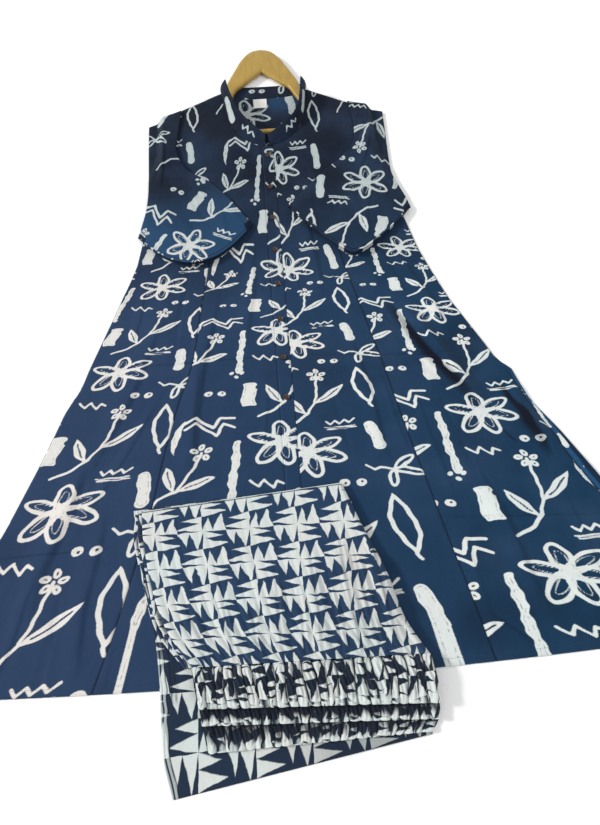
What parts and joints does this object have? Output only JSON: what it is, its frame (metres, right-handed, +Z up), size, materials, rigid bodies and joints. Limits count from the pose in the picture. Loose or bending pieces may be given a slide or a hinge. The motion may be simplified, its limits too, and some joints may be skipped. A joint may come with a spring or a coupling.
{
  "type": "kurti and palazzo set on a wooden hanger",
  "caption": "Long A-line printed cotton kurti laid flat on a wooden hanger, with stand collar, button placket and elbow sleeves, its palazzo trousers folded on the skirt.",
  "frame": {"origin": "centre of the whole set's footprint, on the surface that it lies on", "axes": "+Y from the hem to the neck and hanger, +X to the viewer's right with the neck away from them, +Z up from the surface"},
  "size_m": [1.174, 1.414, 0.043],
  "materials": {
    "kurti_cloth": "matte plain-weave cotton, navy with an off-white print",
    "button_plastic": "polished dark brown",
    "label_cloth": "blank woven white tape",
    "hanger_wood": "satin mustard-stained wood",
    "palazzo_cloth": "matte plain-weave cotton, mint white with a blue triangle print"
  },
  "bodies": {
    "root": {"kurti_back": "kurti_cloth", "collar_back": "kurti_cloth", "front_centre_left": "kurti_cloth", "front_centre_right": "kurti_cloth", "front_side_left": "kurti_cloth", "front_side_right": "kurti_cloth", "placket": "kurti_cloth", "collar_left": "kurti_cloth", "collar_right": "kurti_cloth", "sleeve_left": "kurti_cloth", "sleeve_right": "kurti_cloth", "button_1": "button_plastic", "button_2": "button_plastic", "button_3": "button_plastic", "button_4": "button_plastic", "button_5": "button_plastic", "button_6": "button_plastic", "button_7": "button_plastic", "button_8": "button_plastic", "neck_label": "label_cloth", "hanger": "hanger_wood", "hanger_bar": "hanger_wood", "palazzo_leg_lower": "palazzo_cloth", "palazzo_layers": "palazzo_cloth", "palazzo_leg_upper": "palazzo_cloth", "waistband_front": "palazzo_cloth", "waistband_middle": "palazzo_cloth", "waistband_back": "palazzo_cloth"}
  },
  "joints": []
}
